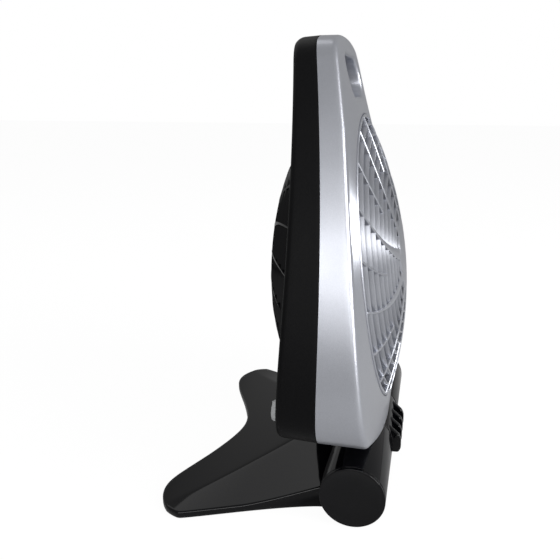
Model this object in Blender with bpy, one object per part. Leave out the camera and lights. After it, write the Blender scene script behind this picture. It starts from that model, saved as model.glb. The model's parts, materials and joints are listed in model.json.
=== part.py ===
"""Battery desk fan: a wedge head with domed grilles, tilting on a battery barrel with a notched leg plate.

All sizes are millimetres until place() turns them into metres. The working frame has X to the right as
seen from the front, the front faces -Y, Z up, Y = 0 under the barrel's axis. An empty moves the whole fan
so that the scene's origin lies under the middle of its footprint.
"""

import math

import bmesh
import bpy
import numpy as np

# ---- driving dimensions (mm) ----
GAP = 0.3                   # running gap between neighbours
WALL = 2.2                  # moulded wall

BARREL_R = 21.4
BARREL_HALF = 96.4
AXIS_Z = 22.6               # tilt axis above the table
CAP_T = 2.4
CELL_R = 17.0
CELL_LENGTH = 59.5
CELL_NUB = 1.5
CELL_COUNT = 3
BORE_R = CELL_R + 0.5
PLUG_DEPTH = 7.0
PLUG_T = 1.4
COLLAR_HALF = 25.4
COLLAR_T = 2.5
WASHER_T = 0.8
RIB_COUNT = 4
RIB_PITCH = 12.95
RIB_WIDTH = 4.0
RIB_PROUD = 5.8
RIB_ANGLE = 29.0            # degrees above and below the front
PAD_T = 0.9                 # rubber under the barrel and the legs

RIM_R = 99.3                # opening for the front grille
RIM_Y = -2.9
RIM_Z = 159.2
LEAN = math.radians(8.2)    # the front face leans back
FACE_FALL = 4.0             # from the rim back to the front edge
CROWN_BACK = 3.0            # the front edge falls back this much more at the crown
DOME_RISE = 18.0
REAR_RIM_R = 94.0
REAR_Z = 156.0
REAR_Y = 43.4
REAR_RISE = 28.0
LEDGE = 3.1                 # grille seat width
EDGE_FLARE = 3.0            # the shell is this much bigger than its front outline
HUB_R = 26.0
GRILLE_T = 4.5
REAR_GRILLE_T = 2.6

SLOT_HALF = 32.0
SLOT_LOW = 268.5
SLOT_HIGH = 294.0
SLOT_CORNER = 12.0
FLOOR_Z = AXIS_Z + 23.9     # underside of the head's seat
FLOOR_T = 4.0
SEAT_X = COLLAR_HALF + 0.7
SEAT_Y = (-6.0, 12.0)

BLADE_COUNT = 5
BLADE_R = 88.0
BLADE_T = 1.8
BLADE_FRONT = 17.5
BLADE_BACK = 37.5
FAN_HUB_R = 21.0
FAN_HUB_WALL = 2.0
SHAFT_R = 2.0
MOTOR_R = 16.5
MOTOR_FRONT = 31.0
MOTOR_BACK = 61.0

KNOB_X = -96.0
KNOB_Z = 79.0
KNOB_R = 9.0
KNOB_PROUD = 10.0
JACK_R = 5.0
SCREW_R = 1.5
SCREW_HEAD_R = 2.9
SCREW_HEAD_T = 1.9
TOP_SCREW = (42.5, 274.0)
LOW_SCREW = (114.0, 101.0)
SCREW_SPLIT_Y = 31.0

LEG_Y = 133.0               # rear edge of the legs
LEG_HALF = 117.0            # half width at the legs
ROOT_HALF = 81.0            # half width at the barrel
NOTCH_HALF = 95.0           # the legs reach their full length this far out
NOTCH_Y = 100.5
PLATE_Z = PAD_T + GAP       # underside of the plate
PLATE_START_Y = 3.0
EDGE_H = 6.0                # side wall height at the legs
ROOT_EDGE_H = 17.0
CROWN_H = 33.0              # crown height at the barrel
FOOT_R = 8.0

HALF_COUNTS = (4, 3, 8, 5, 7)     # outline points along each stretch of one half


# ---- materials ----
def material(name, colour, roughness, metallic=0.0):
    mat = bpy.data.materials.new(name)
    mat.use_nodes = True
    shader = mat.node_tree.nodes["Principled BSDF"]
    shader.inputs["Base Color"].default_value = (*colour, 1.0)
    shader.inputs["Roughness"].default_value = roughness
    shader.inputs["Metallic"].default_value = metallic
    mat.diffuse_color = (*colour, 1.0)
    return mat


# ---- mesh helpers: each returns a bmesh in millimetres ----
def from_faces(points, faces):
    bm = bmesh.new()
    verts = [bm.verts.new(p) for p in points]
    for face in faces:
        bm.faces.new([verts[i] for i in face])
    bmesh.ops.recalc_face_normals(bm, faces=bm.faces)
    return bm


def ring_loft(rows):
    """Rows of points, each a closed loop, joined in order and the last one back to the first."""
    count = len(rows[0])
    total = len(rows)
    faces = []
    for i in range(total):
        for j in range(count):
            k = (j + 1) % count
            n = (i + 1) % total
            faces.append((i * count + j, i * count + k, n * count + k, n * count + j))
    return from_faces(np.concatenate(rows), faces)


def stack_loft(rows):
    """Rows of points, each a closed loop, joined in order and closed by a flat cap at each end."""
    count = len(rows[0])
    faces = [tuple(range(count)), tuple(range((len(rows) - 1) * count, len(rows) * count))]
    for i in range(len(rows) - 1):
        for j in range(count):
            k = (j + 1) % count
            faces.append((i * count + j, i * count + k, (i + 1) * count + k, (i + 1) * count + j))
    return from_faces(np.concatenate(rows), faces)


def turned(profile, axis, centre, steps=32):
    """A closed profile of (along, radius) turned about axis X, Y or Z through centre. Radius 0 is a pole."""
    points = []
    index = []
    for along, radius in profile:
        if radius == 0.0:
            index.append([len(points)] * steps)
            points.append((along, 0.0, 0.0))
            continue
        index.append([len(points) + j for j in range(steps)])
        for j in range(steps):
            angle = 2 * math.pi * j / steps
            points.append((along, radius * math.cos(angle), radius * math.sin(angle)))
    faces = []
    count = len(profile)
    for i in range(count):
        n = (i + 1) % count
        if profile[i][1] == 0.0 and profile[n][1] == 0.0:
            continue
        for j in range(steps):
            k = (j + 1) % steps
            quad = (index[i][j], index[i][k], index[n][k], index[n][j])
            faces.append(tuple(dict.fromkeys(quad)))
    turned_points = np.array(points)
    order = {"X": [0, 1, 2], "Y": [1, 0, 2], "Z": [1, 2, 0]}[axis]
    return from_faces(turned_points[:, order] + np.array(centre), faces)


def rod(axis, centre, radius, low, high, steps=24):
    return turned([(low, 0.0), (low, radius), (high, radius), (high, 0.0)], axis, centre, steps)


def block(low, high):
    bm = bmesh.new()
    bmesh.ops.create_cube(bm, size=1.0)
    low = np.array(low)
    high = np.array(high)
    for v in bm.verts:
        v.co = (np.array(v.co) + 0.5) * (high - low) + low
    return bm


def rounded_prism(half_x, low_z, high_z, corner, starts, ends, steps=5):
    """A slot with rounded corners, running along Y between two end faces given as functions of z."""
    loop = []
    mid = (low_z + high_z) / 2
    half_z = (high_z - low_z) / 2
    for quarter in range(4):
        sx, sz = ((1, 1), (-1, 1), (-1, -1), (1, -1))[quarter]
        for i in range(steps + 1):
            angle = math.pi / 2 * (quarter + i / steps)
            x = sx * (half_x - corner) + corner * math.cos(angle)
            z = sz * (half_z - corner) + corner * math.sin(angle)
            loop.append((x, mid + z))
    rows = [np.array([(x, end(z), z) for x, z in loop]) for end in (starts, ends)]
    return stack_loft(rows)


def sector(axis_z, x0, x1, inner, outer, start, end, steps=5):
    """A ring segment round the barrel's axis, from angle start to end, 0 pointing to the front."""
    loop = []
    there = np.linspace(start, end, steps + 1)
    for radius, angles in ((outer, there), (inner, there[::-1])):
        for angle in angles:
            loop.append((-radius * math.cos(angle), axis_z + radius * math.sin(angle)))
    rows = [np.array([(x, y, z) for y, z in loop]) for x in (x0, x1)]
    return stack_loft(rows)


def joined(parts):
    bm = bmesh.new()
    for part in parts:
        mesh = bpy.data.meshes.new("part")
        part.to_mesh(mesh)
        part.free()
        bm.from_mesh(mesh)
        bpy.data.meshes.remove(mesh)
    return bm


# ---- objects ----
def place(name, bm, mat, parent, pivot=(0.0, 0.0, 0.0)):
    """An object whose origin is at pivot, in the working frame, and whose parent's origin is known."""
    for v in bm.verts:
        v.co = (np.array(v.co) - np.array(pivot)) * 0.001
    bmesh.ops.triangulate(bm, faces=bm.faces)
    mesh = bpy.data.meshes.new(name)
    bm.to_mesh(mesh)
    bm.free()
    mesh.shade_smooth()
    mesh.set_sharp_from_angle(angle=math.radians(35))
    mesh.materials.append(mat)
    obj = bpy.data.objects.new(name, mesh)
    bpy.context.scene.collection.objects.link(obj)
    obj.parent = parent
    obj.location = (np.array(pivot) - np.array(parent["at"])) * 0.001
    return obj


def pivot_empty(name, at, parent=None):
    empty = bpy.data.objects.new(name, None)
    bpy.context.scene.collection.objects.link(empty)
    empty["at"] = at
    if parent:
        empty.parent = parent
        empty.location = (np.array(at) - np.array(parent["at"])) * 0.001
    return empty


def combine(obj, bm, operation, suffix=""):
    """A Boolean with a hidden helper, which keeps the object's own pivot and parent."""
    at = np.array(obj.parent["at"]) + np.array(obj.location) * 1000.0
    name = operation.lower() + suffix
    helper = place(obj.name + "_" + name, bm, obj.data.materials[0], obj.parent, at)
    helper.hide_render = True
    helper.display_type = "WIRE"
    modifier = obj.modifiers.new(name, "BOOLEAN")
    modifier.operation = operation
    modifier.solver = "EXACT"
    modifier.object = helper


def cut(obj, bm, name):
    combine(obj, bm, "DIFFERENCE", "_" + name)


# ---- head outline ----
def bezier(points, count):
    t = np.linspace(0.0, 1.0, count, endpoint=False)[:, None]
    a, b, c, d = (np.array(p, float) for p in points)
    return (1 - t) ** 3 * a + 3 * (1 - t) ** 2 * t * b + 3 * (1 - t) * t ** 2 * c + t ** 3 * d


def face_outline():
    """Front edge of the head as (x, z), clockwise from the top: crown, shoulder, flank, heel, belly."""
    crown = [(0, 304), (14, 304), (28, 303), (38, 300)]
    shoulder = [(38, 300), (45, 298.8), (49.5, 292), (52, 287)]
    flank = [(52, 287), (86, 224.7), (126.5, 135), (126.8, 98)]
    heel = [(126.8, 98), (127.2, 85), (122, 77.5), (112, 73)]
    belly = [(112, 73), (80, 59.5), (40, 41), (0, 41)]
    half = [bezier(p, n) for p, n in zip((crown, shoulder, flank, heel, belly), HALF_COUNTS)]
    right = np.concatenate(half + [np.array([(0.0, 41.0)])])
    left = right[1:-1][::-1] * (-1, 1)
    return np.concatenate([right, left])


def outset(loop, amount):
    """The loop moved outwards by amount along its normals."""
    tangent = np.roll(loop, -1, 0) - np.roll(loop, 1, 0)
    normal = np.stack([-tangent[:, 1], tangent[:, 0]], 1)
    return loop + amount * normal / np.linalg.norm(normal, axis=1)[:, None]


def raised_belly(loop, amount):
    """The belly lifted over the barrel: most in the middle, fading out to the sides."""
    x, z = loop.T
    low = np.clip((90.0 - z) / 30.0, 0.0, 1.0)
    return np.stack([x, z + amount * low * np.exp(-(x / 48.0) ** 2)], 1)


def rim_plane_y(z):
    return RIM_Y + (z - RIM_Z) * math.tan(LEAN)


def crown_back(z):
    return CROWN_BACK * np.clip((z - 250.0) / 54.0, 0.0, 1.0)


def seam_y(z):
    return 18.8 + 17.2 * np.clip((z - 90.0) / 205.0, 0.0, 2.0) ** 2


def rear_edge_y(z):
    up = np.clip((z - 150.0) / 146.0, 0.0, 2.0)
    down = np.clip((150.0 - z) / 72.0, 0.0, 2.0)
    return 42.0 + 9.0 * up ** 2 + 1.4 * down ** 2


def row(loop, y):
    return np.stack([loop[:, 0], np.broadcast_to(y, len(loop)), loop[:, 1]], 1)


def front_circle(radius, offset, loop):
    """Points of a circle in the leaning plane, one towards each point of the outline."""
    angle = np.arctan2(loop[:, 0], loop[:, 1] - RIM_Z)
    x = radius * np.sin(angle)
    up = radius * np.cos(angle)
    y = RIM_Y + up * math.sin(LEAN) + offset * math.cos(LEAN)
    z = RIM_Z + up * math.cos(LEAN) - offset * math.sin(LEAN)
    return np.stack([x, y, z], 1)


def rear_circle(radius, y, loop):
    angle = np.arctan2(loop[:, 0], loop[:, 1] - REAR_Z)
    x = radius * np.sin(angle)
    return np.stack([x, np.full(len(loop), y), REAR_Z + radius * np.cos(angle)], 1)


def rear_wall_y(z):
    """Half way through the rear wall."""
    return REAR_Y - 1.5 + 0.156 * np.maximum(z - 250.0, 0.0)


def screw_seat_y(z):
    return float(rear_wall_y(z)) - 0.2


def slot_cutter():
    return rounded_prism(SLOT_HALF, SLOT_LOW, SLOT_HIGH, SLOT_CORNER, lambda z: -20.0, lambda z: 80.0)


def slot_tunnel(starts, ends):
    return rounded_prism(SLOT_HALF + WALL, SLOT_LOW - WALL, SLOT_HIGH + WALL, SLOT_CORNER + WALL, starts, ends)


def front_shell(parent, mat, pivot):
    edge = face_outline()
    wide = outset(edge, EDGE_FLARE)
    belt = raised_belly(outset(edge, EDGE_FLARE), 3.5)
    middle = raised_belly(wide, 9.1)
    seam = raised_belly(wide, 9.5)
    y_edge = rim_plane_y(edge[:, 1]) + FACE_FALL + crown_back(edge[:, 1])
    y_seam = seam_y(seam[:, 1]) - GAP / 2
    y_belt = y_edge + 4.5
    y_middle = y_belt + 0.35 * (y_seam - y_belt)
    step = GRILLE_T + GAP
    rows = [
        row(seam, y_seam),
        row(middle, y_middle),
        row(belt, y_belt),
        row(raised_belly(outset(edge, 1.9), 1.0), y_edge + 1.3),
        row(edge, y_edge),
        front_circle(RIM_R, 0.5, edge),
        front_circle(RIM_R, step, edge),
        front_circle(RIM_R - LEDGE, step, edge),
        front_circle(RIM_R - LEDGE, step + WALL, edge),
        row(raised_belly(outset(edge, -2.0), 2.0), y_edge + WALL + 1.0),
        row(raised_belly(outset(wide, -WALL), 4.5), y_belt + 1.0),
        row(raised_belly(outset(wide, -WALL), 9.3), y_middle),
        row(raised_belly(outset(wide, -WALL), 9.5), y_seam),
    ]
    shell = place("front_shell", ring_loft(rows), mat, parent, pivot)
    tunnel = slot_tunnel(lambda z: rim_plane_y(z) + 5.0 + crown_back(z), lambda z: seam_y(z) - GAP / 2)
    recess = block((-SEAT_X, SEAT_Y[0] - 1.0, FLOOR_Z - 20.0), (SEAT_X, SEAT_Y[1] + 1.3, FLOOR_Z - 0.2))
    cut(shell, recess, "recess")
    floor = block((-SEAT_X - 3.0, SEAT_Y[0] - 1.1, FLOOR_Z), (SEAT_X + 3.0, SEAT_Y[1] + 2.0, FLOOR_Z + FLOOR_T))
    lip = block((-SEAT_X - 2.6, SEAT_Y[0] - 3.6, FLOOR_Z - 1.9), (SEAT_X + 2.6, SEAT_Y[0] - 0.8, FLOOR_Z + 3.2))
    bosses = []
    for x, z in screw_places():
        bosses.append(rod("Y", (x, 0, z), SCREW_R + 2.2, rim_plane_y(z) + FACE_FALL + 2.0, SCREW_SPLIT_Y, 12))
    combine(shell, joined([tunnel, floor, *bosses]), "UNION")
    combine(shell, lip, "UNION", "_lip")
    bores = [rod("Y", (x, 0, z), SCREW_R + GAP, SCREW_SPLIT_Y - 14.0, 60.0, 8) for x, z in screw_places()]
    holes = [rod("Z", (x, stem_screw_y(), 0), SCREW_R + GAP, FLOOR_Z - 3.0, 70.0, 8) for x in stem_screw_x()]
    combine(shell, joined([slot_cutter(), *bores]), "DIFFERENCE")
    cut(shell, joined(holes), "floor_holes")
    return shell


def screw_places():
    return [(side * x, z) for x, z in (TOP_SCREW, LOW_SCREW) for side in (-1, 1)]


def stem_screw_x():
    return (-12.0, 12.0)


def stem_screw_y():
    return 2.0


def rear_shell(parent, mat, pivot):
    edge = face_outline()
    wide = outset(edge, EDGE_FLARE)
    seam = raised_belly(wide, 9.5)
    y_seam = seam_y(seam[:, 1]) + GAP / 2
    back = raised_belly(outset(edge, 0.6), 8.5)
    y_back = rear_edge_y(back[:, 1])
    inside = raised_belly(outset(wide, -WALL), 9.5)
    rows = [
        row(seam, y_seam),
        row(raised_belly(outset(edge, 2.2), 9.0), y_back - 6.5),
        row(back, y_back - 1.2),
        row(raised_belly(outset(edge, -2.0), 7.5), y_back),
        rear_circle(REAR_RIM_R, REAR_Y, edge),
        rear_circle(REAR_RIM_R, REAR_Y - REAR_GRILLE_T - GAP, edge),
        rear_circle(REAR_RIM_R - LEDGE, REAR_Y - REAR_GRILLE_T - GAP, edge),
        rear_circle(REAR_RIM_R - LEDGE, REAR_Y - REAR_GRILLE_T - GAP - WALL, edge),
        row(raised_belly(outset(edge, -3.4), 8.0), y_back - WALL - 0.6),
        row(raised_belly(outset(edge, -0.4), 9.0), y_back - 7.0),
        row(inside, y_seam),
    ]
    shell = place("rear_shell", ring_loft(rows), mat, parent, pivot)
    tunnel = slot_tunnel(lambda z: seam_y(z) + GAP / 2, rear_wall_y)
    posts = []
    for x, z in screw_places():
        posts.append(rod("Y", (x, 0, z), SCREW_R + 2.2, SCREW_SPLIT_Y + GAP, float(rear_wall_y(z)), 12))
    combine(shell, joined([tunnel, *posts]), "UNION")
    bores = [rod("Y", (x, 0, z), SCREW_R + GAP, 10.0, 60.0, 8) for x, z in screw_places()]
    knob_hole = rod("Y", (KNOB_X, 0, KNOB_Z), 3.6, 30.0, 60.0, 16)
    jack_hole = rod("Y", (-KNOB_X, 0, KNOB_Z), JACK_R + GAP, 30.0, 60.0, 20)
    combine(shell, joined([slot_cutter(), *bores, knob_hole, jack_hole]), "DIFFERENCE")
    heads = []
    for x, z in screw_places():
        heads.append(rod("Y", (x, 0, z), SCREW_HEAD_R + GAP, screw_seat_y(z), 70.0, 12))
    cut(shell, joined(heads), "screw_seats")
    return shell


# ---- grilles ----
def grille_mesh(radii, solid_bands, spokes, spoke_cells, cells, turn, height, thickness):
    """A polar grid of solid cells: every ring band, and the spoke cells in the bands between them.

    radii: circle radii from the hub outwards. turn(r) swirls the grid. height(r) is the dome.
    Returns points as (x, z, out) and faces. Walls stand only where a solid cell meets an empty one.
    """
    period = cells // spokes
    points = []
    for side in (0.0, thickness):
        for radius in radii:
            for j in range(cells):
                angle = 2 * math.pi * j / cells + turn(radius)
                points.append((radius * math.sin(angle), radius * math.cos(angle), height(radius) - side))
    back = len(points) // 2
    front_pole = len(points)
    points.append((0.0, 0.0, height(0.0)))
    points.append((0.0, 0.0, height(0.0) - thickness))

    def solid(k, j):
        if k < 0:
            return True
        if k >= len(radii) - 1:
            return False
        return k in solid_bands or (j % cells) % period < spoke_cells

    faces = []
    for j in range(cells):
        n = (j + 1) % cells
        faces.append((front_pole, n, j))
        faces.append((front_pole + 1, back + j, back + n))
        for k in range(len(radii) - 1):
            a, b = k * cells + j, k * cells + n
            c, d = a + cells, b + cells
            if solid(k, j):
                faces.append((a, b, d, c))
                faces.append((back + a, back + c, back + d, back + b))
            if solid(k, j) != solid(k, n):
                faces.append((b, d, back + d, back + b))
            if solid(k, j) != solid(k + 1, j):
                faces.append((c, d, back + d, back + c))
        if not solid(0, j):
            faces.append((j, n, back + n, back + j))
    return points, faces


def front_grille(parent, mat, pivot):
    radii = [HUB_R, 48.0, 51.5, 71.0, 74.5, 93.5, RIM_R - 4 * GAP]
    points, faces = grille_mesh(
        radii, {1, 3, 5}, 12, 1, 36, lambda r: -0.9 * (1.0 - r / RIM_R) ** 1.3,
        lambda r: DOME_RISE * (1.0 - (r / RIM_R) ** 2), GRILLE_T)
    local = np.array(points)
    x, up, out = local.T
    world = np.stack([
        x,
        RIM_Y + up * math.sin(LEAN) - out * math.cos(LEAN),
        RIM_Z + up * math.cos(LEAN) + out * math.sin(LEAN)], 1)
    place("front_grille", from_faces(world, faces), mat, parent, pivot)


def rear_height(r):
    return REAR_RISE * (1.0 - (r / REAR_RIM_R) ** 2.6)


def rear_grille(parent, mat, pivot):
    radii = [MOTOR_R + 5.0, 44.0, 47.5, 67.0, 70.5, 89.0, REAR_RIM_R - 4 * GAP]
    points, faces = grille_mesh(
        radii, {1, 3, 5}, 12, 1, 36, lambda r: 0.7 * (1.0 - r / REAR_RIM_R) ** 1.3, rear_height, REAR_GRILLE_T)
    x, up, out = np.array(points).T
    world = np.stack([x, REAR_Y + out, REAR_Z + up], 1)
    obj = place("rear_grille", from_faces(world, faces), mat, parent, pivot)
    cup_back = REAR_Y + REAR_RISE - REAR_GRILLE_T + 0.6
    inner = MOTOR_R + GAP
    cup = turned([(MOTOR_BACK - 8.0, inner), (MOTOR_BACK - 8.0, inner + WALL), (cup_back, inner + WALL),
                  (cup_back, 0.0), (MOTOR_BACK + GAP, 0.0), (MOTOR_BACK + GAP, inner)],
                 "Y", (0, 0, REAR_Z), 20)
    combine(obj, cup, "UNION")
    holes = [rod("Y", (x, 0, REAR_Z), SCREW_R + GAP, 50.0, 90.0, 8) for x in (-8.0, 8.0)]
    combine(obj, joined(holes), "DIFFERENCE")
    return obj


# ---- fan and motor ----
def blade(index):
    """One blade: a twisted slab that sweeps from its front edge to its back edge, wider at the tip."""
    radial = np.linspace(FAN_HUB_R - 1.0, BLADE_R, 5)
    across = np.linspace(0.0, 1.0, 5)
    mid = (BLADE_FRONT + BLADE_BACK) / 2
    rows = []
    for r in radial:
        t = (r - radial[0]) / (radial[-1] - radial[0])
        half_depth = (0.36 + 0.14 * math.sin(math.pi * t)) * (BLADE_BACK - BLADE_FRONT) - BLADE_T / 2
        width = 2 * math.pi / BLADE_COUNT * (0.62 + 0.12 * t - 0.25 * max(0.0, t - 0.75))
        start = 2 * math.pi * index / BLADE_COUNT + 0.35 * t
        front = []
        back = []
        for s in across:
            angle = start + width * s
            y = mid + half_depth * math.cos(math.pi * s)
            for side, store in ((-1, front), (1, back)):
                store.append((r * math.sin(angle), y + side * BLADE_T / 2, REAR_Z + r * math.cos(angle)))
        rows.append(np.array(front + back[::-1]))
    return stack_loft(rows)


def fan_parts(spin, head, plastic, metal, dark, pivot):
    centre = (0, 0, REAR_Z)
    front = 11.5
    web = front + FAN_HUB_WALL
    inner = FAN_HUB_R - FAN_HUB_WALL
    hub = turned([(front, SHAFT_R + GAP), (front, FAN_HUB_R - 3.0), (front + 3.0, FAN_HUB_R),
                  (BLADE_BACK, FAN_HUB_R), (BLADE_BACK, inner), (web, inner), (web, SHAFT_R + 3.0),
                  (web + 9.0, SHAFT_R + 3.0), (web + 9.0, SHAFT_R + GAP)], "Y", centre, 24)
    impeller = place("fan_impeller", hub, plastic, spin, pivot)
    combine(impeller, joined([blade(i) for i in range(BLADE_COUNT)]), "UNION")
    place("motor_shaft", rod("Y", centre, SHAFT_R, 4.5, MOTOR_BACK - 4.0, 16), metal, spin, pivot)
    nut = turned([(front - 4.3, SHAFT_R + GAP), (front - 4.3, 5.0), (front - GAP, 5.0),
                  (front - GAP, SHAFT_R + GAP)], "Y", centre, 6)
    place("impeller_nut", nut, metal, spin, pivot)
    rotor = turned([(38.0, SHAFT_R + GAP), (38.0, 10.5), (55.0, 10.5), (55.0, SHAFT_R + GAP)], "Y", centre, 24)
    place("motor_rotor", rotor, metal, spin, pivot)
    bush = SHAFT_R + 2.0
    can = turned([(MOTOR_FRONT, bush + GAP), (MOTOR_FRONT, MOTOR_R), (MOTOR_BACK - 1.6, MOTOR_R),
                  (MOTOR_BACK - 1.6, MOTOR_R - 1.2), (MOTOR_FRONT + 1.2, MOTOR_R - 1.2),
                  (MOTOR_FRONT + 1.2, bush + GAP)], "Y", centre, 20)
    place("motor_can", can, metal, head, pivot)
    magnet = turned([(37.0, 11.5), (37.0, MOTOR_R - 1.5), (56.0, MOTOR_R - 1.5), (56.0, 11.5)], "Y", centre, 20)
    place("motor_magnet", magnet, dark, head, pivot)
    back = MOTOR_BACK - 1.6
    cap = turned([(back + GAP, 0.0), (back + GAP, bush), (back - 3.5, bush), (back - 3.5, bush + 1.8),
                  (back + GAP, MOTOR_R - 2.0), (back + GAP, MOTOR_R), (MOTOR_BACK, MOTOR_R), (MOTOR_BACK, 0.0)],
                 "Y", centre, 20)
    end_cap = place("motor_end_cap", cap, dark, head, pivot)
    holes = [rod("Y", (x, 0, REAR_Z), SCREW_R + GAP, 50.0, 90.0, 8) for x in (-8.0, 8.0)]
    combine(end_cap, joined(holes), "DIFFERENCE")
    for name, low in (("motor_bush_front", MOTOR_FRONT - 0.6), ("motor_bush_rear", back - 3.4)):
        ring = turned([(low, SHAFT_R + GAP), (low, bush - GAP), (low + 3.2, bush - GAP),
                       (low + 3.2, SHAFT_R + GAP)], "Y", centre, 16)
        place(name, ring, metal, head, pivot)
    for name, x in (("motor_screw_1", -8.0), ("motor_screw_2", 8.0)):
        seat = REAR_Y + rear_height(10.0) + GAP + 0.4
        place(name, screw("Y", (x, 0, REAR_Z), seat, -12.0), metal, head, pivot)


def screw(axis, centre, seat, length):
    """A pan-head screw: its head above seat, its shank running length from it."""
    sign = math.copysign(1.0, length)
    top = seat - sign * SCREW_HEAD_T
    return turned([(seat + length, 0.0), (seat + length, SCREW_R * 0.6), (seat + length - sign * 1.2, SCREW_R),
                   (seat, SCREW_R), (seat, SCREW_HEAD_R), (top + sign * 0.5, SCREW_HEAD_R),
                   (top, SCREW_HEAD_R - 0.8), (top, 0.0)], axis, centre, 8)


# ---- controls ----
def controls(head, knob_pivot, mats, pivot):
    wall = REAR_Y + 0.4
    face = wall + GAP
    grip = turned([(face, 0.0), (face, KNOB_R), (face + 3.0, KNOB_R), (face + KNOB_PROUD - 1.0, KNOB_R - 1.6),
                   (face + KNOB_PROUD, KNOB_R - 2.6), (face + KNOB_PROUD, 0.0)],
                  "Y", (KNOB_X, 0, KNOB_Z), 12)
    knob = place("speed_knob", grip, mats["knob"], knob_pivot, (KNOB_X, wall, KNOB_Z))
    stem = rod("Y", (KNOB_X, 0, KNOB_Z), 2.4, 32.0, face + 1.0, 16)
    combine(knob, stem, "UNION")
    inner = wall - WALL - 2.6
    case = block((KNOB_X - 8.0, 28.2, KNOB_Z - 4.5), (KNOB_X + 8.0, inner, KNOB_Z + 9.5))
    switch = place("switch_body", case, mats["dark"], head, pivot)
    combine(switch, rod("Y", (KNOB_X, 0, KNOB_Z), 2.4 + GAP, 31.0, 60.0, 16), "DIFFERENCE")
    board = block((KNOB_X - 11.0, 26.3, KNOB_Z - 4.0), (KNOB_X + 26.0, 27.9, KNOB_Z + 14.0))
    place("circuit_board", board, mats["board"], head, pivot)
    x = -KNOB_X
    barrel = turned([(wall - 13.0, 0.0), (wall - 13.0, JACK_R), (wall - 3.6, JACK_R), (wall + 0.5, JACK_R),
                     (wall + 0.5, 3.0), (wall - 9.0, 3.0), (wall - 9.0, 1.0), (wall - 1.0, 1.0),
                     (wall - 1.0, 0.0)],
                    "Y", (x, 0, KNOB_Z), 20)
    place("dc_jack", barrel, mats["dark"], head, pivot)


def shell_screws(head, metal, pivot):
    for i, (x, z) in enumerate(screw_places(), 1):
        place(f"shell_screw_{i}", screw("Y", (x, 0, z), screw_seat_y(z) + GAP, -20.0), metal, head, pivot)


# ---- base ----
def battery_barrel(base, gloss):
    end = BARREL_HALF - CAP_T - GAP
    shoulder = COLLAR_HALF + WASHER_T + 2 * GAP
    neck = BARREL_R - COLLAR_T - GAP
    half = [(shoulder, neck), (shoulder, BARREL_R), (end, BARREL_R), (end, BORE_R + PLUG_T + 2 * GAP),
            (end - PLUG_DEPTH, BORE_R + PLUG_T + 2 * GAP), (end - PLUG_DEPTH, BORE_R)]
    profile = half + [(-x, r) for x, r in half[::-1]]
    tube = place("battery_barrel", turned(profile, "X", (0, 0, AXIS_Z), 24), gloss, base)
    combine(tube, joined([leg_screw_hole(side) for side in (-1, 1)]), "DIFFERENCE")


def cap_mesh(side):
    face = BARREL_HALF
    inner = face - CAP_T
    ring = BORE_R + GAP + PLUG_T
    profile = [(face, 0.0), (face, BARREL_R - 1.0), (face - 1.0, BARREL_R), (inner, BARREL_R), (inner, ring),
               (inner - PLUG_DEPTH + GAP, ring), (inner - PLUG_DEPTH + GAP, ring - PLUG_T),
               (inner, ring - PLUG_T),
               (inner, 0.0)]
    return turned([(side * x, r) for x, r in profile], "X", (0, 0, AXIS_Z), 24)


def batteries(base, mats):
    room = 2 * (BARREL_HALF - CAP_T)
    length = CELL_LENGTH + CELL_NUB
    stack = CELL_COUNT * length + (CELL_COUNT - 1) * GAP
    start = room / 2 - 1.4 - stack
    for i in range(CELL_COUNT):
        x = start + i * (length + GAP)
        profile = [(x, 0.0), (x, CELL_R - 1.0), (x + 0.8, CELL_R), (x + CELL_LENGTH - 1.0, CELL_R),
                   (x + CELL_LENGTH, CELL_R - 1.5), (x + CELL_LENGTH, 4.7), (x + length, 4.7), (x + length, 0.0)]
        place(f"battery_{i + 1}", turned(profile, "X", (0, 0, AXIS_Z), 18), mats["cell"], base)
    plate_x = room / 2 - 1.4 + GAP
    place("contact_plate", rod("X", (0, 0, AXIS_Z), 12.0, plate_x, plate_x + 0.7), mats["metal"], base)
    place("contact_spring", coil(-room / 2 + 0.8, start - 0.8), mats["metal"], base)


def coil(x0, x1):
    """A conical contact spring of two turns, pressed flat between the cap and the first cell."""
    steps, sides, wire = 20, 5, 0.5
    rows = []
    for i in range(steps + 1):
        t = i / steps
        angle = 4 * math.pi * t
        radius = 11.0 - 6.0 * t
        out = np.array([0.0, math.cos(angle), math.sin(angle)])
        centre = np.array([x0 + (x1 - x0) * t, 0.0, AXIS_Z]) + radius * out
        ring = []
        for j in range(sides):
            a = 2 * math.pi * j / sides
            ring.append(centre + wire * (math.cos(a) * out + math.sin(a) * np.array([1.0, 0.0, 0.0])))
        rows.append(np.array(ring))
    return stack_loft(rows)


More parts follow.
